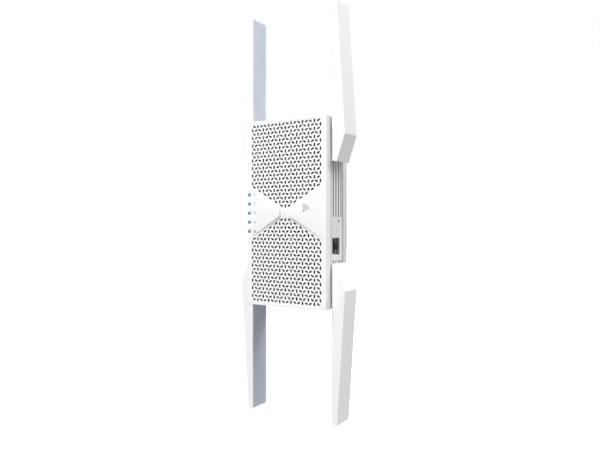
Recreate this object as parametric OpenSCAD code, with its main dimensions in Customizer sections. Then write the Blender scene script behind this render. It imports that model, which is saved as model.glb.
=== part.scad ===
// Plug-in wifi range extender: a slim upright case with a slotted front, a contour plug on its back
// and four blade antennas that turn against its side walls.
//
// Origin: on the wall plane, behind the middle of the case. +X is right as seen from the room,
// +Y goes into the wall and +Z is up. A "depth" is counted backwards from the flat front of the case.

/* [Case] */
// Width of the front cover
case_w = 81; // [80.5:0.1:81.5]
// Height of the front cover
case_h = 163; // [162:0.5:166]
// Depth of the case, from its flat front to the wall
case_d = 37.5; // [37.5:0.5:39]
// Depth of the front cover's side strip
cover_d = 7.9; // [7.5:0.1:8.1]
// Radius of the case's upright corners
corner_r = 1.5; // [1.4:0.1:4]
// How far the side frame sits in from the front cover's sides
frame_inset = 0.5; // [0.3:0.1:0.7]
// Depth at which the back cover meets the side frame
back_split = 30.5; // [30.3:0.1:30.8]
// Rounding of the back cover's rear edges
rear_round = 1; // [1:0.5:3.5]

/* [Front grille] */
// Distance between the rows of slots
row_pitch = 3.368; // [3.3:0.01:3.4]
// Length of one slot
slot_l = 3; // [2:0.1:3.2]
// Width of one slot
slot_w = 1.3; // [0.8:0.1:1.5]
// How far the two smooth side panels stand proud at the middle
ridge_h = 2; // [0.5:0.1:3]
// Half the height of a smooth side panel at its outer edge
ridge_z = 24; // [22:0.5:24.5]

/* [Side walls] */
// Distance between the upright side grooves
groove_pitch = 4.55; // [4.4:0.05:4.7]
// Width of a side groove
groove_w = 1.7; // [1:0.1:2]
// Depth of a side groove
groove_deep = 1.3; // [0.5:0.1:1.6]

/* [Network port] */
// Height of the network port above the middle of the case
port_z = -28.5; // [-29:0.1:-28]
// Width of the cut-out for the network port, along Z
port_w = 14.2; // [14:0.1:15]

/* [Antennas] */
// Width of an antenna blade, front to back
blade_w = 21.5; // [20:0.5:22]
// Depth of the blades' front edge
blade_front = 8.1; // [8:0.1:8.5]
// Gap between the front cover's side and a blade
blade_gap = 0.5; // [0.4:0.1:0.8]
// Height of a blade's base end above the middle of the case
base_z = 43; // [42:0.5:44]
// Height of the knee, where a blade is thickest
knee_z = 65.5; // [65:0.5:68]
// Height of a blade's tip
tip_z = 178; // [172:1:184]
// Thickness of a blade at its base end
base_t = 5; // [4.8:0.1:6]
// Thickness of a blade at its knee
knee_t = 12.8; // [12.5:0.1:14]
// Thickness of a blade at its tip
tip_t = 5.1; // [5:0.1:6]
// Height of the antenna pivots above the middle of the case
pivot_z = 57.5; // [57:0.5:58]
// Radius of a pivot
pivot_r = 5; // [4.8:0.1:5]

/* [Plug] */
// Length of the plug's body behind the case
plug_l = 16; // [15:0.5:17]
// Radius of the plug's body
plug_r = 18.5; // [18:0.1:18.7]
// Radius of a plug pin
pin_r = 2.4; // [2.2:0.1:2.4]
// Length of a plug pin outside the plug's body
pin_l = 19; // [18:0.5:19]
// Distance between the two plug pins
pin_pitch = 19; // [18.5:0.1:19.2]

/* [Hidden] */
quarters = [["upper_right", 0, 0], ["upper_left", 1, 0], ["lower_right", 0, 1], ["lower_left", 1, 1]];
antenna_pieces = ["antenna_shell", "antenna_cover", "antenna_element", "antenna_pivot", "pivot_washer",
    "pivot_clip"];
$fn = 48;
over = 1;                                   // how far a cutting shape runs past the surface it cuts
rub = 0.2;                                  // gap between pieces that are only placed side by side
inner_r = 0.4;                              // least radius of an inner corner

// Case shells
cover_t = 2;
frame_t = 2.6;
frame_w = case_w - 2 * frame_inset;
frame_h = case_h - 2 * frame_inset;
frame_x = frame_w / 2;
frame_in = frame_x - frame_t;
shadow_gap = 1;                             // open groove between the front cover and the side frame
frame_front = cover_d + shadow_gap;
step_deep = 0.5;                            // shallow step in front of the back cover
rear_step = back_split - 2.2;
tongue_x = case_w / 2 - cover_t - rub;      // the side frame's tongue fits inside the front cover
tongue_front = cover_d - 2;
tongue_t = 2;
back_t = 2.2;
rear_vent = [44, 1.8];                      // width and height of a slot through the back cover
rear_vent_zs = [46 : 4 : 66];

// Screws
thread_r = 0.9;
board_clear_r = 1.3;
board_head = [2.2, 1.2];                    // radius and thickness of a board screw's head
case_clear_r = 1.5;
case_head = [2.6, 1.6];
case_sink = [3, 2.8];                       // radius and depth of the hole for a case screw's head
screw_x = frame_x - 6.5;                    // case screws
screw_z = frame_h / 2 - 6.2;
screw_tip = 22;                             // depth that the case screws reach
boss_r = 3.2;

// Front grille
slot_pitch = row_pitch * 2 / sqrt(3);       // the slots' centres are a triangular lattice
rows = 22;
full_rows = 17;                             // the rows below these shorten towards the neck
lowest_row = 1.8 * row_pitch;
neck_x = 4.8;                               // the smooth side panels stop here, short of the middle
neck_z = 2.7;
ridge_x = case_w / 2 - 0.4;

// Status lights
led_pitch = 8.14;
led_w = 3.5;
led_h = 2.6;
led_x = -case_w / 2 + 0.5;                  // outer end of a light window
led_chip = [1.8, 1.6, 0.8];
pipe_gap = 0.1;                             // gap around a light pipe in its window
pipe_leg_x = -tongue_x + tongue_t + rub;
pipe_leg_w = 2.3;
pipe_bend = [5, cover_d - 0.5];             // depths between which a light pipe steps inwards
pipe_bar = [frame_front + 2, frame_front + 4];

// Boards
board_t = 1.6;
main_d = 25.4;                              // depth of the main board's front face
main_x = frame_in - 0.6;
main_z = 68;
ear_x = frame_in - 3.9;                     // main board screws, in ears on the side frame
ear_zs = [33, -46];
power_d = 29.6;                             // depth of the power board's front face
power_x = 28;
power_z = 26;
power_screw = [24, 22];
ear_t = 3.4;
processor_size = [16, 16, 1.4];
radio_size = [11, 11, 1.2];
radio_z = 32;
chip_x = -8;
magnetics_at = [21, -44.5];
magnetics_size = [12, 10, 4.4];
header_at = [22, -13];
header_size = [2.6, 10];
sheet_at = [-4, 0];
sheet_size = [44, 56];
sheet_gap = 0.5;
sheet_t = 0.3;
coax_r = 1.4;
coax_l = 1.8;

// Power parts, as places on the power board and sizes with the height last
transformer_at = [0, 8];
bobbin = [14, 10, 2];
core = [10, 8, 10];
capacitor_at = [5.4, -8.4];
capacitor_r = 4;
capacitor_l = 15;
rectifier_at = [-24, 8];
rectifier_size = [5, 7, 2.6];
fuse_at = [24, 8];
fuse_size = [4, 8, 2.8];

// Cooling stack in front of the main board
can_h = 3;
can_wall = 0.3;
pad_t = 1;
pad_inset = 3;
can_x = [-28, 12];
can_zs = [[-46, -18], [-16, 16], [18, 46]];
sink_base = 2.2;
sink_front = 9.5;
sink_z = 48;
fin_t = 1.2;
fins = 11;

// Network port
port_front = 11.2;
port_lip = 1;                               // bevel below the port
port_back = 24;
jack_w = 16;
jack_d = 11.8;
jack_x = 18;
jack_face = frame_in - rub;
jack_back_t = 2;
latch_x = jack_x + 8;                       // where the space for the plug's latch starts
plug_hole_w = 11.9;
plug_hole = [13, 20.8];                     // depths of the plug's space
latch_w = 6.2;
latch_back = 24;
contacts = 8;
contact_pitch = 1.02;
contact_t = 0.4;
contact_drop = 1.2;                         // how far a contact springs away from the front wall

// Side button and reset switch
button_at = [20, -14.6];                    // depth and height
button_size = [3, 5];
button_gap = 0.25;
button_travel = 0.6;
button_proud = 0.1;
button_flange = [1, 2];                     // thickness, and how much larger the flange is than the cap
cap_in = frame_in - 0.5;
stem_r = 1;
stem_gap = 0.7;                             // how far the stem and the plunger reach into their switches
reset_at = [22.8, -7.3];
pinhole_r = 1.15;
plunger_r = 0.8;
plunger_l = 2.7;
switch_face = 33.4;
switch_t = 4;
button_switch = [2.5, 6];                   // half width towards the front, and height
reset_switch_size = [2, 4.6];
hole_gap = 0.3;                             // gap around the stem and the plunger in their switches

// Antenna blades and pivots, drawn for the upper right quarter
blade_x = case_w / 2 + blade_gap;
blade_back = blade_front + blade_w;
skin = 1.5;
lid_t = 1.4;
pivot_d = (blade_front + blade_back) / 2;
pivot_fit = 0.05;
pivot_in = frame_in - 4.3;                  // inner end of a pivot
pivot_bore = 2.6;
flange_r = 7.5;
hub_r = 6.4;                                // boss around the pivot's bore
hub_in = frame_in - 2.4;
washer_r = 7.2;
recess_r = 7.8;
recess_deep = 0.5;
clip_t = 0.7;
clip_x = hub_in - 1.1;
clip_groove_r = 4.1;
clip_r = 6.2;
clip_mouth = 4;
flange_t = 1;
lid_gap = 0.1;
post_zs = [80, 115, 150];                   // posts that hold the antenna element
post_r = 1.5;
element_x = blade_x + 3.6;
element_t = 0.8;
element_w = 14;
element_from = base_z + 7;
element_l = 108;
lead_gap = 0.3;
lead_r = 0.6;
lead_bend = 3.5;
socket_x = 26;

// Plug
plug_t = 2.2;
plug_face_t = 2;
plug_flange_t = 2;
plug_end = case_d + plug_l;                 // a depth
plug_start = case_d - back_t - plug_flange_t;
plug_flange_r = plug_r + 2;
notch_w = 6.5;                              // notches for a socket's earth clips
notch_deep = 2.5;
cavity_z = plug_r - notch_deep - plug_t;
collar_r = 3.1;
collar_l = 4;
contact_r = 0.8;

// Upright side grooves, as stretches of height on each wall
groove_ds = [for (i = [0 : 3]) 13.1 + i * groove_pitch];
panel_top = -3.6;                           // smooth panel around the port and the buttons
panel_low = -40.3;
groove_end = pivot_z - recess_r - 2;
vent_zs = [pivot_z + recess_r + 2, frame_h / 2 - 5];

function at_depth(d) = d - case_d;
function row_count(k) = k < full_rows ? (k % 2 == 0 ? 18 : 19) : 15 - 3 * (k - full_rows);
// The slots point along three directions in turn: h is a column's place in half pitches.
function slot_angle(h) = let (m = (h % 6 + 6) % 6) m == 0 || m == 3 ? 90 : m == 2 || m == 5 ? 30 : -30;
// Outer face of a blade at height z
function blade_out(z) = blade_x + (z < knee_z
    ? base_t + (knee_t - base_t) * (z - base_z) / (knee_z - base_z)
    : knee_t + (tip_t - knee_t) * (z - knee_z) / (tip_z - knee_z));

// A flat X-Z outline carried from depth a to depth b
module along_y(a, b) translate([0, at_depth(b), 0]) rotate([90, 0, 0]) linear_extrude(b - a) children();
// A flat depth-Z outline carried from x = a to x = b
module along_x(a, b)
    translate([a, 0, 0]) rotate([90, 0, 90]) linear_extrude(b - a) translate([-case_d, 0]) children();
// A flat X-depth outline carried from z = a to z = b
module along_z(a, b) translate([0, -case_d, a]) linear_extrude(b - a) children();

module rounded(w, h, r) {
    square([w - 2 * r, h], center = true);
    square([w, h - 2 * r], center = true);
    for (x = [-1, 1], y = [-1, 1]) translate([x * (w / 2 - r), y * (h / 2 - r)]) circle(r);
}

module ring(w, h, r, t) difference() {
    rounded(w, h, r);
    rounded(w - 2 * t, h - 2 * t, max(r - t, inner_r));
}

// An upright oblong with round ends
module oblong(w, h) {
    square([w, h - w], center = true);
    for (y = [-1, 1]) translate([0, y * (h - w) / 2]) circle(w / 2);
}

module at_corners(x, z) for (i = [-1, 1], j = [-1, 1]) translate([i * x, j * z]) children();
module at_ears() for (i = [-1, 1], z = ear_zs) translate([i * ear_x, z]) children();
module at_leds() for (i = [-2 : 2]) translate([0, i * led_pitch]) children();
module both_sides() for (i = [0, 1]) mirror([i, 0, 0]) children();
module in_quarter(q) mirror([q[1], 0, 0]) mirror([0, 0, q[2]]) children();
module every_quarter() for (q = quarters) in_quarter(q) children();

// ---- Case ----

module slot_field() for (k = [0 : rows - 1], i = [0 : row_count(k) - 1])
    let (h = 2 * i - row_count(k) + 1)
        translate([h * slot_pitch / 2, lowest_row + (rows - 1 - k) * row_pitch])
            rotate(slot_angle(h)) square([slot_l, slot_w], center = true);

module light_window(gap = 0)
    translate([led_x + gap, gap - led_h / 2]) square([led_w, led_h] - 2 * gap * [1, 1]);

// A smooth side panel, level with the front at its outer edge and highest by the neck
module side_ridge() intersection() {
    along_y(-ridge_h, cover_t / 2)
        polygon([[neck_x, -neck_z], [ridge_x, -ridge_z], [ridge_x, ridge_z], [neck_x, neck_z]]);
    along_z(-ridge_z, ridge_z)
        polygon([[neck_x, -ridge_h], [ridge_x, 0], [ridge_x, cover_t / 2], [neck_x, cover_t / 2]]);
}

module front_cover() color("white") difference() {
    union() {
        along_y(0, cover_t) difference() {
            rounded(case_w, case_h, corner_r);
            slot_field();
            mirror([0, 1]) slot_field();
        }
        along_y(cover_t, cover_d) ring(case_w, case_h, corner_r, cover_t);
        both_sides() side_ridge();
    }
    along_y(-over, cover_d + over) at_leds() light_window();
}

module grooves(z0, z1, deep) for (d = groove_ds)
    along_x(frame_x - deep, frame_x + over) translate([d - groove_w / 2, z0]) square([groove_w, z1 - z0]);

module side_frame() color("gainsboro") difference() {
    union() {
        along_y(frame_front, rear_step) ring(frame_w, frame_h, corner_r, frame_t);
        along_y(rear_step, back_split)
            ring(frame_w - 2 * step_deep, frame_h - 2 * step_deep, corner_r, frame_t - step_deep);
        along_y(tongue_front, frame_front)
            ring(2 * tongue_x, 2 * (tongue_x + (case_h - case_w) / 2), corner_r - 1, tongue_t);
        along_y(frame_front + over, back_split) at_corners(screw_x, screw_z) circle(boss_r);
        along_y(frame_front + over, back_split) at_corners(screw_x + boss_r, screw_z)
            square([2 * boss_r, 2 * boss_r], center = true);
        along_y(main_d - ear_t, main_d) at_ears()
            square([2 * (frame_in - ear_x), 2 * boss_r], center = true);
        every_quarter() along_x(hub_in, frame_in + over) translate([pivot_d, pivot_z]) circle(hub_r);
    }
    every_quarter() along_x(hub_in - over, frame_x + over)
        translate([pivot_d, pivot_z]) circle(pivot_r + pivot_fit);
    every_quarter() along_x(frame_x - recess_deep, frame_x + over)
        translate([pivot_d, pivot_z]) circle(recess_r);
    grooves(panel_top, groove_end, groove_deep);
    grooves(-groove_end, panel_low, groove_deep);
    mirror([1, 0, 0]) grooves(-groove_end, groove_end, groove_deep);
    every_quarter() grooves(vent_zs[0], vent_zs[1], frame_t + over);
    along_x(jack_face, frame_x + over) translate([port_front, port_z - port_w / 2])
        square([port_back - port_front, port_w]);
    along_y(port_front, port_back) translate([frame_x, port_z - port_w / 2])
        polygon([[-port_lip, over], [-port_lip, 0], [over, -port_lip - over], [over, over]]);
    along_x(frame_in - over, frame_x + over) translate(reset_at) circle(pinhole_r);
    along_x(frame_in - over, frame_x + over) translate(button_at)
        oblong(button_size[0] + 2 * button_gap, button_size[1] + 2 * button_gap);
    along_y(tongue_front - over, cover_d - rub)
        translate([-tongue_x, 0]) square([2 * led_w, 4 * led_pitch + 3 * led_h], center = true);
    along_y(main_d - ear_t + hole_gap, main_d + over) at_ears() circle(thread_r);
    along_y(screw_tip - tongue_t, back_split + over) at_corners(screw_x, screw_z) circle(thread_r);
}

// The solid block of the back cover, rounded towards the wall and t smaller all round
module back_block(t) intersection() {
    along_y(back_split - (t > 0 ? over : 0), case_d - t)
        rounded(frame_w - 2 * t, frame_h - 2 * t, max(corner_r - t, inner_r));
    along_z(-case_h, case_h) rear_outline(frame_w - 2 * t, case_d - t);
    along_x(-case_w, case_w) mirror([1, -1]) rear_outline(frame_h - 2 * t, case_d - t);
}

module rear_outline(w, d) translate([0, d / 2]) rounded(w, d, rear_round);

module back_cover() color("white") difference() {
    union() {
        difference() {
            back_block(0);
            back_block(back_t);
        }
        along_y(back_split, case_d - back_t) at_corners(screw_x, screw_z) circle(boss_r + over);
        along_y(power_d + board_t, case_d - back_t)
            at_corners(power_screw[0], power_screw[1]) circle(boss_r);
    }
    along_y(back_split - over, case_d + over) circle(plug_r + rub);
    along_y(back_split - over, case_d + over) at_corners(screw_x, screw_z) circle(case_clear_r);
    along_y(case_d - case_sink[1], case_d + over) at_corners(screw_x, screw_z) circle(case_sink[0]);
    along_y(power_d + board_t - over, case_d - back_t - rub)
        at_corners(power_screw[0], power_screw[1]) circle(thread_r);
    for (z = rear_vent_zs, up = [0, 1]) mirror([0, 0, up])
        along_y(back_split, case_d + over) translate([0, z]) square(rear_vent, center = true);
}

module case_screws() color("silver") {
    head = case_d - case_sink[1];
    along_y(head, head + case_head[1]) at_corners(screw_x, screw_z) circle(case_head[0]);
    along_y(screw_tip, head) at_corners(screw_x, screw_z) circle(thread_r);
}

// ---- Plug ----

module plug_body() color("white") difference() {
    union() {
        along_y(plug_start, plug_start + plug_flange_t) circle(plug_flange_r);
        along_y(plug_start, plug_end) circle(plug_r);
    }
    along_y(plug_start - over, plug_end - plug_face_t) intersection() {
        circle(plug_r - plug_t);
        square([2 * plug_r, 2 * cavity_z], center = true);
    }
    for (z = [-1, 1]) along_y(case_d, plug_end + over)
        translate([0, z * (plug_r - notch_deep / 2 + over / 2)])
            square([notch_w, notch_deep + over], center = true);
    along_y(plug_end - plug_face_t - over, plug_end + over) at_pins() circle(collar_r);
}

module at_pins() for (x = [-1, 1]) translate([x * pin_pitch / 2, 0]) children();

module plug_pins() color("silver") {
    along_y(plug_end, plug_end + pin_l) at_pins() circle(pin_r);
    along_y(plug_end - collar_l, plug_end) at_pins() circle(collar_r);
}

module mains_contacts() color("goldenrod")
    along_y(power_d + board_t, plug_end - collar_l) at_pins() circle(contact_r);

// ---- Boards ----

module main_board() color("darkgreen") along_y(main_d, main_d + board_t) difference() {
    square([2 * main_x, 2 * main_z], center = true);
    at_ears() circle(board_clear_r);
}

module main_board_screws() color("silver") {
    along_y(main_d + board_t, main_d + board_t + board_head[1]) at_ears() circle(board_head[0]);
    along_y(main_d - ear_t + 2 * hole_gap, main_d + board_t) at_ears() circle(thread_r);
}

module can_outlines(inset) for (z = can_zs)
    translate([can_x[0] + inset, z[0] + inset])
        square([can_x[1] - can_x[0], z[1] - z[0]] - 2 * inset * [1, 1]);

module shield_cans() color("silver") difference() {
    along_y(main_d - can_h, main_d) can_outlines(0);
    along_y(main_d - can_h + can_wall, main_d + over) can_outlines(can_wall);
}

// A block of a given size on the front of the main board, or behind the power board
module on_main(at, size) along_y(main_d - size[2], main_d)
    translate(at) square([size[0], size[1]], center = true);
module on_power(at, size) along_y(power_d + board_t, power_d + board_t + size[2])
    translate(at) square([size[0], size[1]], center = true);

module processor() color("dimgray") on_main([chip_x, 0], processor_size);
module radio_chips() color("dimgray") for (z = [-radio_z, radio_z]) on_main([chip_x, z], radio_size);

module thermal_pads() color("slategray")
    along_y(main_d - can_h - pad_t, main_d - can_h) can_outlines(pad_inset);

module heatsink() color("dimgray") along_z(-sink_z, sink_z) {
    back = main_d - can_h - pad_t;
    step = (can_x[1] - can_x[0] - fin_t) / (fins - 1);
    translate([can_x[0], back - sink_base]) square([can_x[1] - can_x[0], sink_base]);
    for (i = [0 : fins - 1])
        translate([can_x[0] + i * step, sink_front]) square([fin_t, back - sink_base - sink_front + fin_t]);
}

module rj45_jack() color("dimgray") difference() {
    along_x(jack_x, jack_face) translate([jack_d, port_z - jack_w / 2])
        square([main_d - jack_d, jack_w]);
    along_x(jack_x + jack_back_t, jack_face + over) translate([plug_hole[0], port_z - plug_hole_w / 2])
        square([plug_hole[1] - plug_hole[0], plug_hole_w]);
    along_x(latch_x, jack_face + over) translate([plug_hole[1] - over, port_z - latch_w / 2])
        square([latch_back - plug_hole[1] + over, latch_w]);
}

module rj45_contacts() color("gold") for (i = [0 : contacts - 1])
    let (z = port_z + (i - (contacts - 1) / 2) * contact_pitch,
         front = plug_hole[0], start = jack_x + jack_back_t)
        along_z(z - contact_t / 2, z + contact_t / 2) polygon([
            [start, front], [jack_face - 2 * jack_back_t, front], [latch_x, front + contact_drop],
            [latch_x, front + contact_drop - contact_t], [start, front + contact_t]]);

module ethernet_transformer() color("dimgray") on_main(magnetics_at, magnetics_size);

module coax_sockets() color("gold") every_quarter()
    along_y(main_d - coax_l, main_d) translate([socket_x, pivot_z]) circle(coax_r);

module status_leds() color("deepskyblue") for (i = [-2 : 2])
    on_main([pipe_leg_x + pipe_leg_w / 2, i * led_pitch], led_chip);

// Five light pipes, joined by a bar behind the front cover
module light_guide() color("powderblue") {
    pipe_h = led_h - 2 * pipe_gap;
    along_y(pipe_gap, pipe_bend[1]) at_leds() light_window(pipe_gap);
    along_y(pipe_bend[0], pipe_bend[1]) at_leds() translate([led_x + pipe_gap, -pipe_h / 2])
        square([pipe_leg_x + pipe_leg_w - led_x - pipe_gap, pipe_h]);
    along_y(pipe_bend[0], main_d - led_chip[2] - lead_gap) at_leds()
        translate([pipe_leg_x, -pipe_h / 2]) square([pipe_leg_w, pipe_h]);
    along_y(pipe_bar[0], pipe_bar[1]) translate([pipe_leg_x, -2 * led_pitch - pipe_h / 2])
        square([pipe_leg_w, 4 * led_pitch + pipe_h]);
}

module side_button() color("whitesmoke") {
    flange = cap_in - button_flange[0] + button_proud;
    along_x(cap_in, frame_x + button_proud) translate(button_at) oblong(button_size[0], button_size[1]);
    along_x(flange, flange + button_flange[0]) translate(button_at)
        oblong(button_size[0] + button_flange[1], button_size[1] + button_flange[1]);
}

module side_switch_stem() color("dimgray")
    along_x(switch_face - stem_gap, cap_in - button_flange[0] + button_proud)
        translate(button_at) circle(stem_r);

// A switch that stands on the main board beside the wall, with a hole in its face
module wall_switch(at, size, hole_r, hole_deep) difference() {
    along_x(switch_face - switch_t, switch_face) translate([at[0] - size[0], at[1] - size[1] / 2])
        square([main_d - at[0] + size[0], size[1]]);
    along_x(switch_face - hole_deep, switch_face + over) translate(at) circle(hole_r);
}

module side_switch() color("silver")
    wall_switch(button_at, button_switch, stem_r + hole_gap, stem_gap + 3 * button_travel);

module reset_plunger() color("dimgray")
    along_x(switch_face - stem_gap, switch_face - stem_gap + plunger_l)
        translate(reset_at) circle(plunger_r);

module reset_switch() color("silver")
    wall_switch(reset_at, reset_switch_size, plunger_r + hole_gap, switch_t / 2);

// ---- Power supply ----

module power_board() color("darkolivegreen") along_y(power_d, power_d + board_t) difference() {
    square([2 * power_x, 2 * power_z], center = true);
    at_corners(power_screw[0], power_screw[1]) circle(board_clear_r);
}

module power_board_screws() color("silver") {
    along_y(power_d - board_head[1], power_d)
        at_corners(power_screw[0], power_screw[1]) circle(board_head[0]);
    along_y(power_d, case_d - back_t - 1) at_corners(power_screw[0], power_screw[1]) circle(thread_r);
}

module transformer() color("khaki") {
    along_y(power_d + board_t, power_d + board_t + 2 * bobbin[2] + core[2])
        translate(transformer_at) square([core[0], core[1]], center = true);
    on_power(transformer_at, bobbin);
    translate([0, bobbin[2] + core[2], 0]) on_power(transformer_at, bobbin);
}

module bulk_capacitors() color("midnightblue") for (x = [-1, 1])
    along_y(power_d + board_t, power_d + board_t + capacitor_l)
        translate([x * capacitor_at[0], capacitor_at[1]]) circle(capacitor_r);

module rectifier() color("dimgray") on_power(rectifier_at, rectifier_size);
module fuse() color("tan") on_power(fuse_at, fuse_size);

module board_header() color("dimgray")
    along_y(main_d + board_t, power_d) translate(header_at) square(header_size, center = true);

module insulation_sheet() color("wheat")
    along_y(main_d + board_t + sheet_gap, main_d + board_t + sheet_gap + sheet_t)
        translate(sheet_at) square(sheet_size, center = true);

// ---- Antennas: each piece is drawn in the upper right quarter ----

module blade_outline(t) polygon([
    [blade_x, base_z + t], [blade_out(base_z + t) - t, base_z + t], [blade_out(knee_z) - t, knee_z],
    [blade_out(tip_z - t) - t, tip_z - t], [blade_x, tip_z - t]]);

module along_blade(inset) along_y(blade_front + inset, blade_back - inset) children();

module antenna_shell() color("white") difference() {
    along_blade(0) blade_outline(0);
    translate([-over, 0, 0]) along_blade(skin) blade_outline(skin);
    along_blade(skin) blade_outline(skin);
}

module antenna_cover() color("white") difference() {
    union() {
        along_x(blade_x, blade_x + lid_t) translate([blade_front, base_z] + (skin + lid_gap) * [1, 1])
            square([blade_w, tip_z - base_z] - 2 * (skin + lid_gap) * [1, 1]);
        along_x(blade_x, element_x) for (z = post_zs) translate([pivot_d, z]) circle(post_r);
    }
    along_x(blade_x - over, blade_x + lid_t + over) translate([pivot_d, pivot_z]) circle(pivot_r);
}

module antenna_element() color("darkgreen") along_x(element_x, element_x + element_t)
    translate([pivot_d - element_w / 2, element_from]) square([element_w, element_l]);

module antenna_pivot() color("silver") difference() {
    union() {
        along_x(pivot_in, blade_x + lid_t) translate([pivot_d, pivot_z]) circle(pivot_r);
        along_x(blade_x + lid_t, blade_x + lid_t + flange_t) translate([pivot_d, pivot_z]) circle(flange_r);
    }
    along_x(pivot_in - over, element_x) translate([pivot_d, pivot_z]) circle(pivot_bore);
    along_x(clip_x, clip_x + clip_t + lid_gap) translate([pivot_d, pivot_z]) difference() {
        circle(pivot_r + over);
        circle(clip_groove_r);
    }
}

module pivot_washer() color("goldenrod") along_x(frame_x - lid_gap, blade_x) translate([pivot_d, pivot_z])
    difference() {
        circle(washer_r);
        circle(pivot_r + lid_gap);
    }

// A spring clip in the pivot's groove, open on one side
module pivot_clip() color("dimgray") along_x(clip_x, clip_x + clip_t) translate([pivot_d, pivot_z])
    difference() {
        circle(clip_r);
        circle(clip_groove_r);
        translate([0, -clip_mouth / 2]) square([2 * pivot_r, clip_mouth]);
    }

// Each lead runs in along its pivot's axis and bends down to a socket on the main board.
module antenna_leads() color("dimgray") every_quarter() {
    bend_x = socket_x + lead_bend;
    along_x(bend_x, element_x - lead_gap) translate([pivot_d, pivot_z]) circle(lead_r);
    translate([bend_x, at_depth(pivot_d + lead_bend), pivot_z]) rotate(180) rotate_extrude(angle = 90)
        translate([lead_bend, 0]) circle(lead_r);
    along_y(pivot_d + lead_bend, main_d - coax_l) translate([socket_x, pivot_z]) circle(lead_r);
}

front_cover();
side_frame();
back_cover();
plug_body();
plug_pins();
mains_contacts();
main_board();
shield_cans();
processor();
radio_chips();
thermal_pads();
heatsink();
rj45_jack();
rj45_contacts();
ethernet_transformer();
coax_sockets();
status_leds();
light_guide();
side_button();
side_switch_stem();
side_switch();
reset_plunger();
reset_switch();
power_board();
transformer();
bulk_capacitors();
rectifier();
fuse();
board_header();
insulation_sheet();
case_screws();
main_board_screws();
power_board_screws();
antenna_leads();
for (q = quarters) in_quarter(q) {
    antenna_shell();
    antenna_cover();
    antenna_element();
    antenna_pivot();
    pivot_washer();
    pivot_clip();
}
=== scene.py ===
"""A plug-in wifi range extender: slotted white case, contour plug and four turning blade antennas."""
import math

import bmesh
import bpy
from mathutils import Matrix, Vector
from mathutils.geometry import delaunay_2d_cdt


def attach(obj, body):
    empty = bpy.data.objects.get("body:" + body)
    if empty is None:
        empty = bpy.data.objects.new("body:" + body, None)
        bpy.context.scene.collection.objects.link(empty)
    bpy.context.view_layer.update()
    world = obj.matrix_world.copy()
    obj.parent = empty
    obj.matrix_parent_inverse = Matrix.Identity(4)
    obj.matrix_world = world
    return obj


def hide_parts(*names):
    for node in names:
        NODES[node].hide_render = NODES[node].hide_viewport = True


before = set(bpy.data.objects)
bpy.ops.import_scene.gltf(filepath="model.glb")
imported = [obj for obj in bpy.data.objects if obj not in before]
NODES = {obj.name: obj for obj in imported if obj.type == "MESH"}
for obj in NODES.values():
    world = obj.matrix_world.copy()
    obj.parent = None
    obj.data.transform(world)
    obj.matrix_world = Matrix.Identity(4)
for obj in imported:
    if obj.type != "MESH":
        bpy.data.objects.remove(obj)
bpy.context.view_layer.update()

MM = 0.001
QUARTERS = {"upper_right": (1, 1), "upper_left": (-1, 1), "lower_right": (1, -1), "lower_left": (-1, -1)}

# Sizes in millimetres. A depth is counted backwards from the flat front of the case.
CASE_W, CASE_H, CASE_D = 81.0, 163.0, 37.5
COVER_D, COVER_T, CORNER_R = 7.9, 2.0, 1.5
RIM = 0.5                                        # rounding of the front edge
BACK_LIP, BACK_LIP_MID = 0.25, 0.07              # rounding of the cover's back edge
INNER_R = 0.6                                    # corners inside the cover
FRAME_X, GROOVE_DEEP, BACK_SPLIT = 40.0, 1.3, 30.5    # side frame's face and grooves, back cover's front

# Slots: an open length, width and edge rounding, and how far down the walls turn black (painted shade for
# the dark inside)
SLOT_L, SLOT_W, SLOT_EDGE, SLOT_SHADE_DEPTH = 3.15, 1.5, 0.06, 0.08
ROW_PITCH, ROWS, FULL_ROWS, LOWEST_ROW = 3.368, 22, 17, 6.0624
FULL_COUNT, NARROW_COUNT, NARROWING = 18, 15, 3  # slots in a full row, in the next one, and lost per row
SLOT_PITCH = ROW_PITCH * 2 / math.sqrt(3)
SLOT_TURNS = {0: 90, 3: 90, 2: 30, 5: 30}        # directions of the columns, by sixths
OTHER_TURN = -30

# Ridges: the two smooth side panels, highest at the neck between them
RIDGE_H, NECK_X, NECK_Z, RIDGE_X, RIDGE_Z = 2.0, 4.8, 2.7, 40.1, 24.0
RIDGE_END = CASE_W / 2 - RIM - 0.1
RIDGE_SOFT, RIDGE_STEPS = 0.4, 12

# Light windows: an opening with a lens in it, and a strip that wraps over the rounded edge beside it
LIGHTS = range(-2, 3)
LIGHT_PITCH, LIGHT_X0, LIGHT_X1, LIGHT_H = 8.14, -39.4, -36.5, 2.6
LIGHT_X = (LIGHT_X0 + LIGHT_X1) / 2
LIGHT_R, LENS_R, LENS_GAP, LENS_IN = 0.4, 0.35, 0.02, 1.9
LENS_EDGE = ((0, 0.08), (0.03, 0.02), (0.1, -0.01))    # inset and depth of its rings, up to the proud face
WRAP_D, WRAP_T, WRAP_LIFT, WRAP_LAP = 1.3, 0.2, 0.02, 0.05

# Printed signs
MARK_X, MARK_SIZE = -32.1, 1.7
MARK_ROOT, MARK_THICK = 0.02, 0.03
SIGN_X, SIGN_Z, SIGN_R, SIGN_TURN = 19.2, 1.4, 5.2, -32

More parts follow.
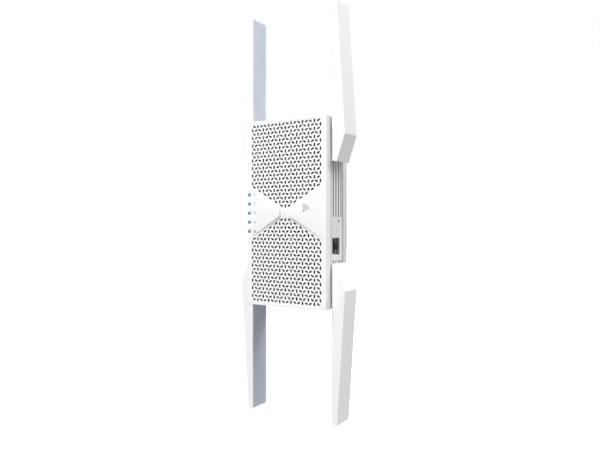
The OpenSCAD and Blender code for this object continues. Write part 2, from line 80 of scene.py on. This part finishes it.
# Plug pins and case screws: places, radii and depths
PIN_X, PIN_R, PIN_BASE, PIN_TIP, PIN_SOFT = 9.5, 2.4, 53.5, 72.5, 1.3
COLLAR_R, COLLAR_L, COLLAR_EDGE = 3.1, 4, 0.15
SCREW_X, SCREW_Z, SCREW_R, SHANK_R = 33.5, 74.8, 2.6, 0.9
SCREW_TIP, SCREW_POINT, HEAD_FOOT, HEAD_TOP, HEAD_SOFT, HEAD_EDGE = 22, 1.2, 34.7, 36.3, 0.5, 0.1
CROSS_TOP, CROSS_FLOOR, CROSS_DEEP = (1.45, 0.36), (0.8, 0.2), 1.1    # reach and half width of its arms
SCREW_TURN, SCREW_TURN_STEP = 17, 31


# ---- Outlines, as lists of (x, z) in millimetres ----

def arc(cx, cz, r, a0, a1, n):
    return [(cx + r * math.cos(math.radians(a0 + (a1 - a0) * i / n)),
             cz + r * math.sin(math.radians(a0 + (a1 - a0) * i / n))) for i in range(n + 1)]


def rounded(w, h, r, n=6):
    pts = []
    for sx, sz, a in ((1, 1, 0), (-1, 1, 90), (-1, -1, 180), (1, -1, 270)):
        pts += arc(sx * (w / 2 - r), sz * (h / 2 - r), r, a, a + 90, n)
    return pts


def moved(pts, x, z):
    return [(p[0] + x, p[1] + z) for p in pts]


def turned(pts, x, z, angle):
    c, s = math.cos(math.radians(angle)), math.sin(math.radians(angle))
    return [(x + c * px - s * pz, z + s * px + c * pz) for px, pz in pts]


def slot_outline(x, z, angle, grow, n=7):
    r = SLOT_W / 2
    half = SLOT_L / 2 - r
    pts = arc(half, 0, r + grow, -90, 90, n) + arc(-half, 0, r + grow, 90, 270, n)
    return turned(pts, x, z, angle)


def slots():
    """Centre and direction of every slot, on a triangular lattice with three directions."""
    for k in range(ROWS):
        count = (FULL_COUNT + k % 2) if k < FULL_ROWS else NARROW_COUNT - NARROWING * (k - FULL_ROWS)
        for i in range(count):
            h = 2 * i - count + 1
            angle = SLOT_TURNS.get(h % 6, OTHER_TURN)
            x, z = h * SLOT_PITCH / 2, LOWEST_ROW + (ROWS - 1 - k) * ROW_PITCH
            yield x, z, angle
            yield x, -z, -angle


def inset_polygon(pts, offsets):
    """The outline with each side, from its point to the next, moved inwards by its own offset."""
    n = len(pts)
    lines = []
    for i in range(n):
        (x0, z0), (x1, z1) = pts[i], pts[(i + 1) % n]
        length = math.hypot(x1 - x0, z1 - z0)
        nx, nz = -(z1 - z0) / length, (x1 - x0) / length
        lines.append((x0 + nx * offsets[i], z0 + nz * offsets[i], x1 - x0, z1 - z0))
    out = []
    for i in range(n):
        ax, az, adx, adz = lines[i - 1]
        bx, bz, bdx, bdz = lines[i]
        den = adx * bdz - adz * bdx
        t = ((bx - ax) * bdz - (bz - az) * bdx) / den
        out.append((ax + t * adx, az + t * adz))
    return out


# ---- Mesh building ----

JOIN_M, SMOOTH_ANGLE = 2e-7, math.radians(35)


class Shell:
    """Vertices and faces in millimetres, put together from flat panels and the bands between outlines."""

    def __init__(self):
        self.verts, self.faces, self.finish, self.dark = [], [], [], 0

    def face(self, f):
        self.faces.append(tuple(f))
        self.finish.append(self.dark)

    def point(self, x, depth, z):
        self.verts.append((x, depth - CASE_D, z))
        return len(self.verts) - 1

    def ring(self, outline, depth):
        return [self.point(x, depth(x, z) if callable(depth) else depth, z) for x, z in outline]

    def band(self, a, b):
        for i in range(len(a)):
            j = (i + 1) % len(a)
            self.face((a[i], a[j], b[j], b[i]))

    def bands(self, rings):
        for a, b in zip(rings, rings[1:]):
            self.band(a, b)

    def panel(self, outer, holes, depth, flip=False):
        """Fills the outline around its holes; depth is a number or a function of x and z."""
        coords, loops = [], []
        for loop in [outer] + holes:
            loops.append(list(range(len(coords), len(coords) + len(loop))))
            coords += [Vector(p) for p in loop]
        pts, _, faces, _, _, inside = delaunay_2d_cdt(coords, [], loops, 1, 1e-7, True)
        base = len(self.verts)
        self.ring([(p.x, p.y) for p in pts], depth)
        for f, of in zip(faces, inside):
            if 0 in of and max(of) == 0:
                f = [base + i for i in f]
                self.face(f[::-1] if flip else f)

    def build(self, name, body, materials, replaces=()):
        """The shell as one object on a body, joined up and smooth except at its sharp edges."""
        mesh = bpy.data.meshes.new(name)
        mesh.from_pydata([tuple(c * MM for c in v) for v in self.verts], [], self.faces)
        mesh.polygons.foreach_set("material_index", self.finish)
        bm = bmesh.new()
        bm.from_mesh(mesh)
        bmesh.ops.remove_doubles(bm, verts=bm.verts, dist=JOIN_M)
        bmesh.ops.recalc_face_normals(bm, faces=bm.faces)
        for e in bm.edges:
            e.smooth = len(e.link_faces) == 2 and e.calc_face_angle(math.pi) < SMOOTH_ANGLE
        for f in bm.faces:
            f.smooth = True
        bm.to_mesh(mesh)
        bm.free()
        obj = bpy.data.objects.new(name, mesh)
        bpy.context.scene.collection.objects.link(obj)
        for m in materials:
            mesh.materials.append(m)
        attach(obj, body)
        if replaces:
            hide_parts(*replaces)


def ramp_angles(n):
    return [math.radians(90 * i / n) for i in range(n + 1)]


# ---- Materials ----

RELIEF_M = 0.00004


def nodes_of(name):
    mat = bpy.data.materials.new(name)
    mat.use_nodes = True
    tree = mat.node_tree
    shader = tree.nodes["Principled BSDF"]
    coords = tree.nodes.new("ShaderNodeTexCoord")
    return mat, tree, shader, coords.outputs["Object"]


def noise(tree, vector, scale, detail=3, rough=0.5, stretch=None):
    if stretch:
        mapping = tree.nodes.new("ShaderNodeMapping")
        mapping.inputs["Scale"].default_value = stretch
        tree.links.new(vector, mapping.inputs["Vector"])
        vector = mapping.outputs["Vector"]
    n = tree.nodes.new("ShaderNodeTexNoise")
    n.inputs["Scale"].default_value = scale
    n.inputs["Detail"].default_value = detail
    n.inputs["Roughness"].default_value = rough
    tree.links.new(vector, n.inputs["Vector"])
    return n.outputs["Fac"]


def ramp(tree, fac, stops):
    r = tree.nodes.new("ShaderNodeValToRGB")
    while len(r.color_ramp.elements) < len(stops):
        r.color_ramp.elements.new(0.5)
    for e, (pos, colour) in zip(r.color_ramp.elements, stops):
        e.position, e.color = pos, (*colour, 1)
    tree.links.new(fac, r.inputs["Fac"])
    return r.outputs["Color"]


def spread(tree, value, lo, hi):
    m = tree.nodes.new("ShaderNodeMapRange")
    m.inputs["From Min"].default_value, m.inputs["From Max"].default_value = 0.25, 0.75
    m.inputs["To Min"].default_value, m.inputs["To Max"].default_value = lo, hi
    tree.links.new(value, m.inputs["Value"])
    return m.outputs["Result"]


def surface(name, colour, tone, rough, mottle, grain, bump, stretch=None, **sockets):
    """A finish with slow tone changes, a fine grain in the gloss and the same grain as relief."""
    mat, tree, shader, at = nodes_of(name)
    darker = tuple(c * (1 - tone) for c in colour)
    lighter = tuple(min(1, c * (1 + tone * 0.5)) for c in colour)
    slow = noise(tree, at, mottle, 4, 0.6, stretch)
    fine = noise(tree, at, grain, 2, 0.5, stretch)
    tree.links.new(ramp(tree, slow, [(0.3, darker), (0.7, lighter)]), shader.inputs["Base Color"])
    tree.links.new(spread(tree, fine, *rough), shader.inputs["Roughness"])
    relief = tree.nodes.new("ShaderNodeBump")
    relief.inputs["Strength"].default_value = bump
    relief.inputs["Distance"].default_value = RELIEF_M
    tree.links.new(fine, relief.inputs["Height"])
    tree.links.new(relief.outputs["Normal"], shader.inputs["Normal"])
    for key, value in sockets.items():
        shader.inputs[key.replace("_", " ")].default_value = value
    return mat


def fraction_along(tree, value, lo, hi):
    """0 to 1 as a coordinate goes from lo to hi, both in mm."""
    along = tree.nodes.new("ShaderNodeMapRange")
    along.inputs["From Min"].default_value, along.inputs["From Max"].default_value = lo * MM, hi * MM
    tree.links.new(value, along.inputs["Value"])
    return along.outputs["Result"]


def paint_shade(mat, axis, lo, hi, stops):
    """Painted shade: multiply a finish by greys along an axis, from lo to hi in mm; on X both sides count
    alike.
    """
    tree = mat.node_tree
    shader = next(n for n in tree.nodes if n.type == "BSDF_PRINCIPLED")
    tone = shader.inputs["Base Color"].links[0].from_socket
    at = tree.nodes.new("ShaderNodeTexCoord").outputs["Object"]
    parts = tree.nodes.new("ShaderNodeSeparateXYZ")
    tree.links.new(at, parts.inputs["Vector"])
    value = parts.outputs[axis]
    if axis == "X":
        size = tree.nodes.new("ShaderNodeMath")
        size.operation = "ABSOLUTE"
        tree.links.new(value, size.inputs[0])
        value = size.outputs["Value"]
    greys = ramp(tree, fraction_along(tree, value, lo, hi), [(pos, (g, g, g)) for pos, g in stops])
    mix = tree.nodes.new("ShaderNodeMix")
    mix.data_type, mix.blend_type = "RGBA", "MULTIPLY"
    mix.inputs["Factor"].default_value = 1.0
    first, second = (i for i in mix.inputs if i.type == "RGBA")
    product = next(o for o in mix.outputs if o.type == "RGBA")
    tree.links.new(tone, first)
    tree.links.new(greys, second)
    tree.links.new(product, shader.inputs["Base Color"])


def board_finish(name):
    """Dark green solder mask over traces that run along X and Z."""
    mat, tree, shader, at = nodes_of(name)
    brick = tree.nodes.new("ShaderNodeTexBrick")
    brick.inputs["Scale"].default_value = 260
    brick.inputs["Color1"].default_value = (0.004, 0.028, 0.014, 1)
    brick.inputs["Color2"].default_value = (0.006, 0.036, 0.018, 1)
    brick.inputs["Mortar"].default_value = (0.010, 0.055, 0.026, 1)
    brick.inputs["Mortar Size"].default_value = 0.06
    turn = tree.nodes.new("ShaderNodeMapping")
    turn.inputs["Rotation"].default_value = (math.radians(90), 0, 0)
    tree.links.new(at, turn.inputs["Vector"])
    tree.links.new(turn.outputs["Vector"], brick.inputs["Vector"])
    tree.links.new(brick.outputs["Color"], shader.inputs["Base Color"])
    tree.links.new(spread(tree, noise(tree, at, 900), 0.25, 0.4), shader.inputs["Roughness"])
    return mat


def light_finish(name):
    """Frosted window, deep blue at the case's edge and paler inwards."""
    mat, tree, shader, at = nodes_of(name)
    parts = tree.nodes.new("ShaderNodeSeparateXYZ")
    tree.links.new(at, parts.inputs["Vector"])
    colour = ramp(tree, fraction_along(tree, parts.outputs["X"], -CASE_W / 2, LIGHT_X1),
                  [(0.0, (0.10, 0.19, 0.25)), (0.5, (0.08, 0.17, 0.23)), (0.72, (0.17, 0.29, 0.38)),
                   (0.95, (0.36, 0.49, 0.60)), (1.0, (0.48, 0.61, 0.71))])
    tree.links.new(colour, shader.inputs["Base Color"])
    tree.links.new(colour, shader.inputs["Emission Color"])
    shader.inputs["Emission Strength"].default_value = 0.2
    tree.links.new(spread(tree, noise(tree, at, 1500), 0.2, 0.35), shader.inputs["Roughness"])
    return mat


# Numbers after the colour: tone change, roughness range, scales of the tone and the grain, relief
front_white = surface("front_white", (0.86, 0.86, 0.87), 0.012, (0.42, 0.52), 60, 3200, 0.10)
# Painted shade: black for the slot walls and the cover's inside face, standing in for the dark inside of the
# case
slot_painted_shade = surface("slot_painted_shade", (0.012, 0.012, 0.013), 0.3, (0.6, 0.75), 300, 2600, 0.1)
# Painted shade: the frame's white is set darker than the front's, so its ribbed sides look shaded
frame_white = surface("frame_white", (0.74, 0.74, 0.745), 0.02, (0.45, 0.58), 70, 2600, 0.18)
# Painted shade in the side grooves: darker towards their floors
paint_shade(frame_white, "X", FRAME_X - GROOVE_DEEP, FRAME_X - 0.1, [(0, 0.42), (1, 1)])
# Painted shadow in the gap just behind the cover's back edge
paint_shade(frame_white, "Y", COVER_D - CASE_D, COVER_D + 3 - CASE_D, [(0, 0.55), (0.45, 0.6), (0.65, 1)])
back_white = surface("back_white", (0.80, 0.80, 0.81), 0.03, (0.5, 0.65), 70, 2000, 0.3)
# Painted shade on the back cover's sides: darker at the join with the frame, a little darker along the
# middle, and a dark band just before the rear edge
paint_shade(back_white, "Y", BACK_SPLIT - CASE_D, -0.5,
      [(0, 0.72), (0.12, 0.86), (0.6, 0.86), (0.85, 0.62), (0.97, 0.7), (1, 1)])
blade_white = surface("blade_white", (0.84, 0.84, 0.858), 0.012, (0.40, 0.5), 45, 3200, 0.10)
lid_grey = surface("lid_grey", (0.56, 0.61, 0.69), 0.025, (0.42, 0.52), 45, 3000, 0.12)
button_white = surface("button_white", (0.78, 0.78, 0.79), 0.02, (0.35, 0.45), 200, 3000, 0.1)
mark_grey = surface("mark_grey", (0.40, 0.40, 0.42), 0.05, (0.4, 0.5), 300, 3000, 0.1)
window_blue = light_finish("window_blue")
pipe_clear = surface("pipe_clear", (0.55, 0.68, 0.76), 0.05, (0.08, 0.15), 200, 2500, 0.05,
                     Coat_Weight=0.5)
nickel = surface("nickel", (0.72, 0.71, 0.69), 0.05, (0.16, 0.28), 300, 1800, 0.10, (1, 0.08, 1),
                 Metallic=1.0)
steel = surface("steel", (0.52, 0.52, 0.53), 0.10, (0.25, 0.42), 300, 1500, 0.15, (1, 0.1, 1), Metallic=1.0)
zinc = surface("zinc", (0.60, 0.61, 0.63), 0.10, (0.28, 0.45), 500, 1800, 0.2, Metallic=1.0)
dark_steel = surface("dark_steel", (0.16, 0.16, 0.17), 0.2, (0.35, 0.5), 400, 1500, 0.2, Metallic=1.0)
gold = surface("gold", (0.83, 0.62, 0.26), 0.08, (0.18, 0.3), 400, 2000, 0.1, Metallic=1.0)
brass = surface("brass", (0.70, 0.50, 0.20), 0.12, (0.28, 0.42), 400, 1800, 0.15, Metallic=1.0)
bronze = surface("bronze", (0.62, 0.42, 0.20), 0.12, (0.3, 0.45), 400, 1800, 0.15, Metallic=1.0)
jack_grey = surface("jack_grey", (0.24, 0.235, 0.20), 0.1, (0.45, 0.6), 400, 2200, 0.2)
anodised = surface("anodised", (0.018, 0.018, 0.02), 0.3, (0.45, 0.6), 200, 2200, 0.2, (1, 1, 0.06))
epoxy = surface("epoxy", (0.02, 0.02, 0.022), 0.3, (0.5, 0.65), 300, 2600, 0.25)
soft_pad = surface("soft_pad", (0.28, 0.33, 0.38), 0.15, (0.7, 0.85), 250, 1500, 0.3)
tape = surface("tape", (0.72, 0.55, 0.10), 0.12, (0.3, 0.4), 200, 900, 0.2, (1, 8, 1))
sleeve = surface("sleeve", (0.02, 0.025, 0.08), 0.25, (0.2, 0.3), 200, 1500, 0.1)
moulded_tan = surface("moulded_tan", (0.42, 0.32, 0.18), 0.15, (0.45, 0.6), 300, 1800, 0.2)
film = surface("film", (0.74, 0.70, 0.54), 0.06, (0.2, 0.35), 60, 1200, 0.1)
jacket = surface("jacket", (0.02, 0.02, 0.02), 0.3, (0.4, 0.55), 300, 2500, 0.15)
board_green = board_finish("board_green")
led_clear = surface("led_clear", (0.35, 0.6, 0.85), 0.1, (0.1, 0.2), 500, 2500, 0.1, Coat_Weight=0.6)


# ---- Front cover ----

def ridge_height(x):
    return RIDGE_H * max(0.0, RIDGE_X - abs(x)) / (RIDGE_X - NECK_X)


def on_ridge(x, z):
    return -ridge_height(x) if abs(x) < RIDGE_END - 0.01 else 0.0


def ridge_outline(side):
    """The four corners, counter-clockwise. Its second side is the outer one, on the left and the right."""
    slope = (RIDGE_Z - NECK_Z) / (RIDGE_X - NECK_X)
    end_z = NECK_Z + slope * (RIDGE_END - NECK_X)
    quad = [(NECK_X, -NECK_Z), (RIDGE_END, -end_z), (RIDGE_END, end_z), (NECK_X, NECK_Z)]
    return quad if side > 0 else [(-x, z) for x, z in quad][::-1]


def divided(quad):
    """The same outline with its two long edges cut into steps."""
    out = []
    for i, (x0, z0) in enumerate(quad):
        x1, z1 = quad[(i + 1) % 4]
        n = RIDGE_STEPS if abs(x1 - x0) > RIDGE_X / 2 else 1
        out += [(x0 + (x1 - x0) * j / n, z0 + (z1 - z0) * j / n) for j in range(n)]
    return out


def add_ridge(shell, side, light_holes):
    """Walls with a rounded top edge, then the sloping top. The outer end runs out into the flat."""
    quad = ridge_outline(side)
    last = shell.ring(divided(quad), 0.0)
    for a in ramp_angles(4):
        inset, drop = RIDGE_SOFT * (1 - math.cos(a)), 1 - math.sin(a)
        outline = divided(inset_polygon(quad, [inset, 0.0, inset, inset]))
        now = []
        for x, z in outline:
            h = -on_ridge(x, z)
            now.append(shell.point(x, -max(0.0, h - min(RIDGE_SOFT, 0.7 * h) * drop), z))
        shell.band(last, now)
        last = now
    shell.panel(outline, light_holes, on_ridge)


def front_cover():
    shell = Shell()
    edges = [(SLOT_EDGE * (1 - math.sin(a)), SLOT_EDGE * (1 - math.cos(a))) for a in ramp_angles(2)]
    outer = rounded(CASE_W - 2 * RIM, CASE_H - 2 * RIM, CORNER_R - RIM)
    inner = rounded(CASE_W - 2 * COVER_T, CASE_H - 2 * COVER_T, INNER_R)
    windows = [[moved(rounded(LIGHT_X1 - LIGHT_X0 + 2 * g, LIGHT_H + 2 * g, LIGHT_R + g, 3),
                      LIGHT_X, i * LIGHT_PITCH) for i in LIGHTS] for g, _ in edges]
    holes = [[slot_outline(*s, g) for s in slots()] for g, _ in edges]

    shell.panel(outer, holes[0] + [ridge_outline(-1), ridge_outline(1)], 0.0)
    add_ridge(shell, -1, windows[0])
    add_ridge(shell, 1, [])
    # The inside face of the cover is painted black, as painted shade
    shell.dark = 1
    shell.panel(inner, holes[-1] + windows[-1], COVER_T, flip=True)
    shell.dark = 0
    for n in range(len(holes[0])):
        rings = [shell.ring(hole[n], d) for hole, (_, d) in zip(holes, edges)]
        rings += [shell.ring(holes[-1][n], SLOT_SHADE_DEPTH), shell.ring(holes[-1][n], COVER_T)]
        shell.bands(rings[:-1])
        # Deeper down, the slot walls are painted black, as painted shade
        shell.dark = 1
        shell.bands(rings[-2:])
        shell.dark = 0
    for n in range(len(LIGHTS)):
        rings = [shell.ring(window[n], lambda x, z, d=d: on_ridge(x, z) + d)
                 for window, (_, d) in zip(windows, edges)]
        shell.bands(rings + [shell.ring(windows[-1][n], COVER_T)])

    profile = [(RIM * (1 - math.sin(a)), RIM * (1 - math.cos(a))) for a in ramp_angles(5)]
    profile += [(0.0, COVER_D - BACK_LIP), (BACK_LIP_MID, COVER_D - BACK_LIP_MID), (BACK_LIP, COVER_D)]
    rings = [shell.ring(rounded(CASE_W - 2 * e, CASE_H - 2 * e, CORNER_R - e), d) for e, d in profile]
    shell.bands(rings + [shell.ring(inner, COVER_D), shell.ring(inner, COVER_T)])
    shell.build("front_cover_shell", "case", [front_white, slot_painted_shade], ["front_cover"])


front_cover()


# ---- Light windows and small printed marks ----

def light_windows():
    """A lens in each window, and the part of it that wraps over the cover's rounded edge."""
    shell = Shell()
    edge = -CASE_W / 2
    start = LIGHT_X0 - WRAP_LAP

    def wrap(first_depth, flat_depth, r, side_x):
        """One side of the wrapped part, as (x, depth), from the window round to the case's side."""
        bend = [(edge + RIM - r * math.sin(a), RIM - r * math.cos(a)) for a in ramp_angles(4)[1:]]
        return [(start, first_depth), (edge + RIM, flat_depth)] + bend + [(side_x, WRAP_D)]

    outer = wrap(-WRAP_LIFT + on_ridge(LIGHT_X0, 0), -WRAP_LIFT, RIM + WRAP_LIFT, edge - WRAP_LIFT)
    under = wrap(WRAP_T, WRAP_T, RIM - WRAP_T, edge + WRAP_T)
    w, h = LIGHT_X1 - LIGHT_X0 - LENS_GAP, LIGHT_H - LENS_GAP
    for i in LIGHTS:
        z = i * LIGHT_PITCH

        def outline(inset):
            return moved(rounded(w - 2 * inset, h - 2 * inset, LENS_R, 3), LIGHT_X, z)

        rings = [shell.ring(outline(0), LENS_IN)]
        rings += [shell.ring(outline(inset), lambda x, z, d=d: d + on_ridge(x, z)) for inset, d in LENS_EDGE]
        shell.bands(rings)
        shell.face(rings[-1])
        shell.face(rings[0])
        low, high = [[[shell.point(x, d, z + side * h / 2) for x, d in line] for line in (outer, under)]
                     for side in (-1, 1)]
        for n in range(len(outer) - 1):
            for a, b in zip(low, high):
                shell.face((a[n], a[n + 1], b[n + 1], b[n]))
            for top, bottom in (low, high):
                shell.face((top[n], top[n + 1], bottom[n + 1], bottom[n]))
        for n in (0, len(outer) - 1):
            shell.face((low[0][n], high[0][n], high[1][n], low[1][n]))
    shell.build("light_windows", "case", [window_blue])


def plate(shell, outline):
    """A print on the front, a little proud of it."""
    low = shell.ring(outline, lambda x, z: on_ridge(x, z) + MARK_ROOT)
    top = shell.ring(outline, lambda x, z: on_ridge(x, z) - MARK_THICK)
    shell.band(low, top)
    shell.face(top)
    shell.face(low)


def arc_band(cx, cz, r, w, a0, a1, n=12):
    return arc(cx, cz, r + w / 2, a0, a1, n) + arc(cx, cz, r - w / 2, a1, a0, n)


def fan(shell, x, z, size, angle, rings):
    """The plain signal sign: a dot under arcs. Its size is the radius of the outer arc."""
    plate(shell, turned(arc(0, 0, 0.17 * size, 0, 330, 11), x, z, angle))
    for n in range(rings):
        plate(shell, turned(arc_band(0, 0, size * (1 - 0.36 * n), 0.2 * size, 45, 135), x, z, angle))


def front_marks():
    """Small plain pictograms beside the lights, and a plain signal sign on the right side panel."""
    shell = Shell()
    x, k = MARK_X, MARK_SIZE
    bar = [(-0.1 * k, 0.1), (0.1 * k, 0.1), (0.1 * k, 0.95 * k), (-0.1 * k, 0.95 * k)]
    port = [(-0.85, -0.7), (0.85, -0.7), (0.85, 0.4), (0.35, 0.4), (0.35, 0.75), (-0.35, 0.75),
            (-0.35, 0.4), (-0.85, 0.4)]
    for i, kind in zip(reversed(LIGHTS), ("mains", "fan", "fan", "fan", "port")):
        z = i * LIGHT_PITCH
        if kind == "mains":
            plate(shell, arc_band(x, z - 0.05, 0.75 * k, 0.2 * k, 125, 415))
            plate(shell, moved(bar, x, z))
        elif kind == "fan":
            fan(shell, x, z - 0.6 * k, 1.15 * k, 0, 2)
        else:
            plate(shell, [(x + k * px, z + k * pz) for px, pz in port])
    fan(shell, SIGN_X, SIGN_Z, SIGN_R, SIGN_TURN, 3)
    shell.build("front_marks", "case", [mark_grey])


light_windows()
front_marks()


# ---- Plug pins and case screws ----

def lathe(shell, x, z, profile, n):
    """A surface of n sides, from rings of (radius, depth) about a line along Y; its ends stay open."""
    rings = [shell.ring(arc(x, z, r, 0, 360 * (n - 1) / n, n - 1), d) for r, d in profile]
    shell.bands(rings)
    return rings


def rounded_end(r, depth, soft, steps):
    return [(r - soft * (1 - math.cos(a)), depth - soft * (1 - math.sin(a))) for a in ramp_angles(steps)[1:]]


def plug_pins():
    shell = Shell()
    profile = [(COLLAR_R, PIN_BASE - COLLAR_L), (COLLAR_R, PIN_BASE - COLLAR_EDGE),
               (COLLAR_R - COLLAR_EDGE, PIN_BASE), (PIN_R, PIN_BASE), (PIN_R, PIN_TIP - PIN_SOFT)]
    profile += rounded_end(PIN_R, PIN_TIP, PIN_SOFT, 6)
    for side in (-1, 1):
        rings = lathe(shell, side * PIN_X, 0, profile, 40)
        shell.face(rings[0])
        shell.face(rings[-1])
    shell.build("plug_pin_pair", "case", [nickel], ["plug_pins"])


def cross(x, z, arm, half, angle):
    pts = []
    for i in range(4):
        pts += turned([(half, -half), (arm, -half), (arm, half)], x, z, 90 * i + angle)
    return pts


def case_screws():
    """Screws with a cross recess, each left at its own angle."""
    shell = Shell()
    profile = [(SHANK_R * 0.4, SCREW_TIP), (SHANK_R, SCREW_TIP + SCREW_POINT), (SHANK_R, HEAD_FOOT),
               (SCREW_R - HEAD_EDGE, HEAD_FOOT), (SCREW_R, HEAD_FOOT + HEAD_EDGE),
               (SCREW_R, HEAD_TOP - HEAD_SOFT)]
    profile += rounded_end(SCREW_R, HEAD_TOP, HEAD_SOFT, 4)
    floor_depth = HEAD_TOP - CROSS_DEEP
    for n, (sx, sz) in enumerate(QUARTERS.values()):
        x, z, turn = sx * SCREW_X, sz * SCREW_Z, SCREW_TURN + SCREW_TURN_STEP * n
        rings = lathe(shell, x, z, profile, 36)
        shell.face(rings[0])
        mouth, floor = cross(x, z, *CROSS_TOP, turn), cross(x, z, *CROSS_FLOOR, turn)
        shell.panel(arc(x, z, SCREW_R - HEAD_SOFT, 0, 350, 35), [mouth], HEAD_TOP)
        shell.band(shell.ring(mouth, HEAD_TOP), shell.ring(floor, floor_depth))
        shell.panel(floor, [], floor_depth)
    shell.build("case_screw_set", "case", [zinc], ["case_screws"])


plug_pins()
case_screws()


# ---- Pieces that keep their CAD shape, with softened edges ----

WELD_M, BEVEL_ANGLE, FACE_WEIGHT = 2e-6, math.radians(32), 80


def soften(node, width, segments):
    obj = NODES[node]
    weld = obj.modifiers.new("weld", "WELD")
    weld.merge_threshold = WELD_M
    edges = obj.modifiers.new("edges", "BEVEL")
    edges.width = width * MM
    edges.segments = segments
    edges.limit_method = "ANGLE"
    edges.angle_limit = BEVEL_ANGLE
    edges.use_clamp_overlap = True
    edges.miter_outer = "MITER_ARC"
    normals = obj.modifiers.new("normals", "WEIGHTED_NORMAL")
    normals.keep_sharp = True
    normals.weight = FACE_WEIGHT


FINISHES = {
    "front_cover": front_white, "side_frame": frame_white, "back_cover": back_white,
    "plug_body": back_white, "plug_pins": nickel, "mains_contacts": brass,
    "main_board": board_green, "shield_cans": steel, "processor": epoxy,
    "radio_chips": epoxy, "thermal_pads": soft_pad, "heatsink": anodised, "rj45_jack": jack_grey,
    "rj45_contacts": gold, "ethernet_transformer": epoxy, "coax_sockets": gold, "status_leds": led_clear,
    "light_guide": pipe_clear, "side_button": button_white, "side_switch_stem": epoxy, "side_switch": steel,
    "reset_plunger": epoxy, "reset_switch": steel, "power_board": board_green, "transformer": tape,
    "bulk_capacitors": sleeve, "rectifier": epoxy, "fuse": moulded_tan, "board_header": epoxy,
    "insulation_sheet": film, "case_screws": zinc, "main_board_screws": zinc, "power_board_screws": zinc,
    "antenna_leads": jacket, "antenna_shell": blade_white, "antenna_cover": lid_grey,
    "antenna_element": board_green, "antenna_pivot": steel, "pivot_washer": bronze, "pivot_clip": dark_steel,
}
for name, obj in NODES.items():
    kind = next((name[:-len(q) - 1] for q in QUARTERS if name.endswith("_" + q)), name)
    obj.data.materials.clear()
    obj.data.materials.append(FINISHES[kind])
soften("side_frame", 0.12, 2)
soften("back_cover", 0.25, 2)
soften("side_button", 0.3, 3)
for q in QUARTERS:
    soften("antenna_shell_" + q, 0.35, 3)
    soften("antenna_cover_" + q, 0.12, 2)


# ---- Floor, light and camera ----

def area(name, at, size, power):
    """A soft square lamp aimed at the middle of the case."""
    light = bpy.data.lights.new(name, "AREA")
    light.shape = "RECTANGLE"
    light.size = light.size_y = size
    light.energy = power
    obj = bpy.data.objects.new(name, light)
    bpy.context.scene.collection.objects.link(obj)
    obj.location = at
    obj.rotation_euler = (-Vector(at)).to_track_quat("-Z", "Y").to_euler()


# Place, side and power of each lamp
LAMPS = {
    "lamp_key": ((-0.1, -0.83, 1.37), 0.22, 27.5),
    "lamp_front_low": ((-0.1, -1.5, -0.5), 0.8, 10.8),
    "lamp_right_back_high": ((0.9, 0.6, 1.2), 0.5, 12.5),
    "lamp_right_back_low": ((1.1, 0.7, -0.8), 0.6, 4.3),
    "lamp_right_below": ((0.9, -0.3, -1.2), 0.6, 1.6),
    "lamp_right_steep": ((0.6, 0.1, 1.5), 0.4, 16.8),
    "lamp_right": ((1.5, -0.2, 0.1), 1.0, 4.0),
    "lamp_left": ((-1.5, -0.3, 0.2), 1.0, 4.0),
    "lamp_back": ((-0.5, 1.5, 0.3), 0.8, 10.0),
}
for name, (at, size, power) in LAMPS.items():
    area(name, at, size, power)

# White to the camera, dim as a light
SEEN_LIGHT, FILL_LIGHT = 1.0, 0.12
world = bpy.data.worlds.new("studio")
bpy.context.scene.world = world
world.use_nodes = True
tree = world.node_tree
fill = tree.nodes["Background"]
seen = tree.nodes.new("ShaderNodeBackground")
for background, strength in ((fill, FILL_LIGHT), (seen, SEEN_LIGHT)):
    background.inputs["Color"].default_value = (1, 1, 1, 1)
    background.inputs["Strength"].default_value = strength
mix = tree.nodes.new("ShaderNodeMixShader")
path = tree.nodes.new("ShaderNodeLightPath")
tree.links.new(path.outputs["Is Camera Ray"], mix.inputs["Fac"])
tree.links.new(fill.outputs["Background"], mix.inputs[1])
tree.links.new(seen.outputs["Background"], mix.inputs[2])
tree.links.new(mix.outputs["Shader"], tree.nodes["World Output"].inputs["Surface"])

FLOOR_HALF, FLOOR_Z, FLOOR_GLOW = 6, -0.32, 1.1
floor_mesh = bpy.data.meshes.new("floor")
corners = ((-1, -1), (1, -1), (1, 1), (-1, 1))
floor_mesh.from_pydata([(x * FLOOR_HALF, y * FLOOR_HALF, FLOOR_Z) for x, y in corners], [], [(0, 1, 2, 3)])
floor = bpy.data.objects.new("floor", floor_mesh)
bpy.context.scene.collection.objects.link(floor)
floor_mat, floor_tree, floor_shader, floor_at = nodes_of("floor_pale")
floor_tone = ramp(floor_tree, noise(floor_tree, floor_at, 3), [(0.3, (0.90,) * 3), (0.7, (0.93,) * 3)])
floor_tree.links.new(floor_tone, floor_shader.inputs["Base Color"])
floor_shader.inputs["Roughness"].default_value = 0.9
floor_shader.inputs["Emission Color"].default_value = (1, 1, 1, 1)
floor_shader.inputs["Emission Strength"].default_value = FLOOR_GLOW
floor_mesh.materials.append(floor_mat)
floor.visible_diffuse = False
floor.visible_shadow = False
floor.visible_glossy = False

# Level with the case's middle, about half a metre away and well to the right of its front
EYE_AT, EYE_TURN, LENS_MM, SENSOR_MM = (0.2775, -0.4537, -0.0101), math.radians(32.24), 34.83, 36
camera = bpy.data.cameras.new("camera")
camera.lens, camera.sensor_width, camera.sensor_fit = LENS_MM, SENSOR_MM, "HORIZONTAL"
camera.clip_start, camera.clip_end = 0.01, 50
eye = bpy.data.objects.new("camera", camera)
bpy.context.scene.collection.objects.link(eye)
eye.location = EYE_AT
eye.rotation_euler = (math.radians(90), 0, EYE_TURN)
bpy.context.scene.camera = eye
bpy.context.scene.view_settings.view_transform = "Standard"
bpy.context.scene.view_settings.look = "None"
